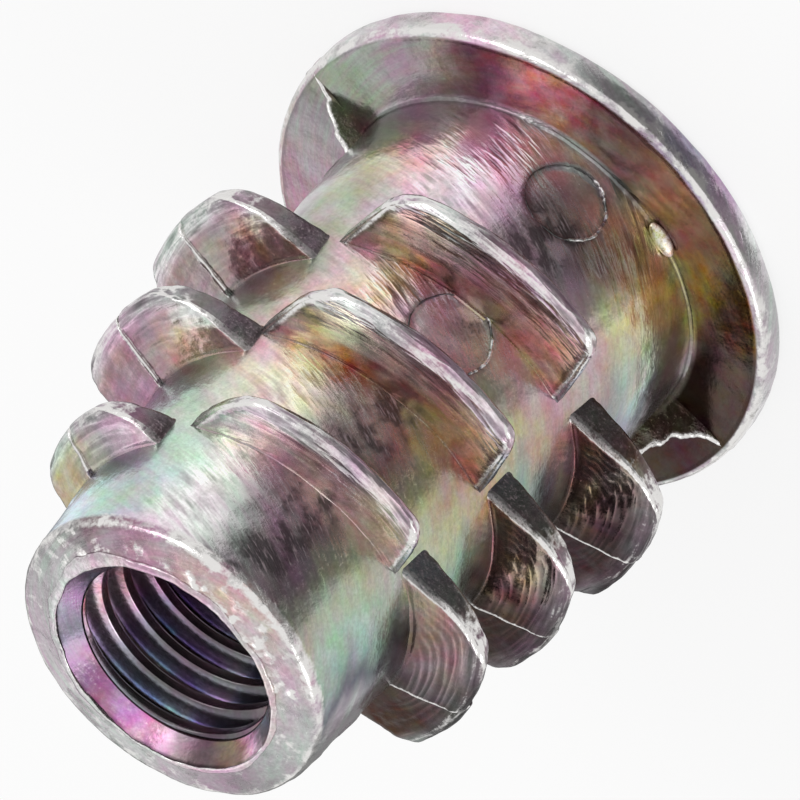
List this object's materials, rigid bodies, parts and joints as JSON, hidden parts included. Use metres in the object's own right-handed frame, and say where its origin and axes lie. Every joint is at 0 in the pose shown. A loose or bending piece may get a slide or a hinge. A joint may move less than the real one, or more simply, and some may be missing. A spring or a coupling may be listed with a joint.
{
  "type": "threaded insert",
  "caption": "Die-cast threaded insert for wood: a tapering sleeve with a round flange, a coarse broken outer thread, a machine-threaded bore and a hex socket.",
  "frame": {"origin": "centre of the flange's face, where the bore's axis meets it", "axes": "+Z along the bore from the flange to the open end; the die's parting plane is y = 0, and -Y is the side with the ejector pins' marks"},
  "size_m": [0.0184, 0.0184, 0.0228],
  "materials": {
    "chromated_zinc": "zinc-alloy die casting with an iridescent yellow-chromate film: pale grey-green, pink, olive and orange-brown patches, bright worn edges and a grainy cast skin"
  },
  "bodies": {
    "root": {"threaded_insert": "chromated_zinc"}
  },
  "joints": []
}
